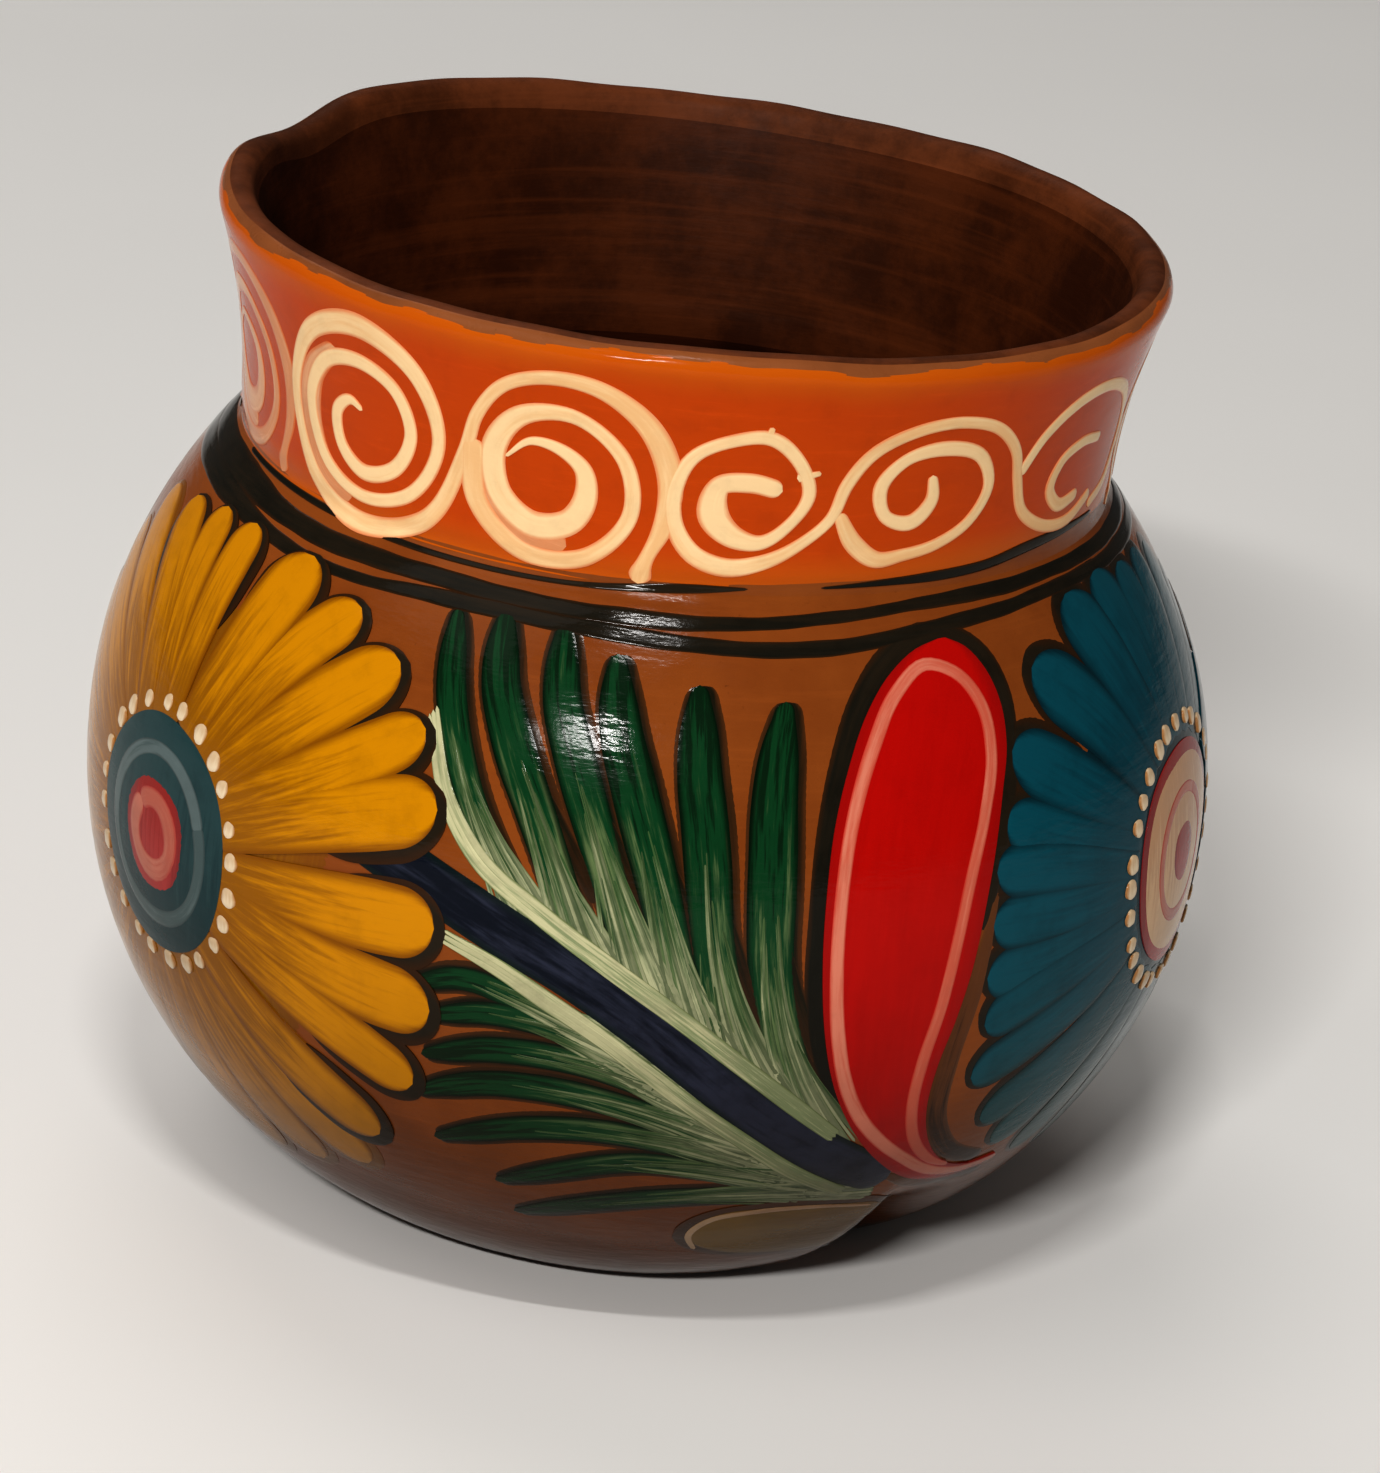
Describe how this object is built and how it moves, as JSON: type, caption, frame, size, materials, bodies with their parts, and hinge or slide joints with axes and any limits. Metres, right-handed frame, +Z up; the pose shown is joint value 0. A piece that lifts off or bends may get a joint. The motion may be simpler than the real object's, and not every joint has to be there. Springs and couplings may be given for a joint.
{
  "type": "painted clay pot",
  "caption": "Round-bellied redware vase with a flared collar neck, a coloured slip coat on the neck and a black band on the shoulder.",
  "frame": {"origin": "centre of the flat base, at the level it stands on", "axes": "+Z up the pot's axis; -Y towards the side with the long feather leaf between the two flowers"},
  "size_m": [0.13, 0.13, 0.1156],
  "materials": {
    "fired_clay": "clear varnish over brown terracotta",
    "bare_clay": "wiped terracotta under thin varnish",
    "orange_slip": "glossy",
    "black_paint": "glossy",
    "cream_slip": "glossy",
    "yellow_paint": "glossy",
    "red_paint": "glossy",
    "blue_paint": "glossy",
    "green_paint": "glossy"
  },
  "bodies": {
    "root": {"base_disc": "fired_clay", "lower_bowl": "fired_clay", "shoulder": "fired_clay", "neck_collar": "fired_clay", "lip_coil": "bare_clay", "orange_slip_coat": "orange_slip", "black_band_coat": "black_paint"}
  },
  "joints": []
}
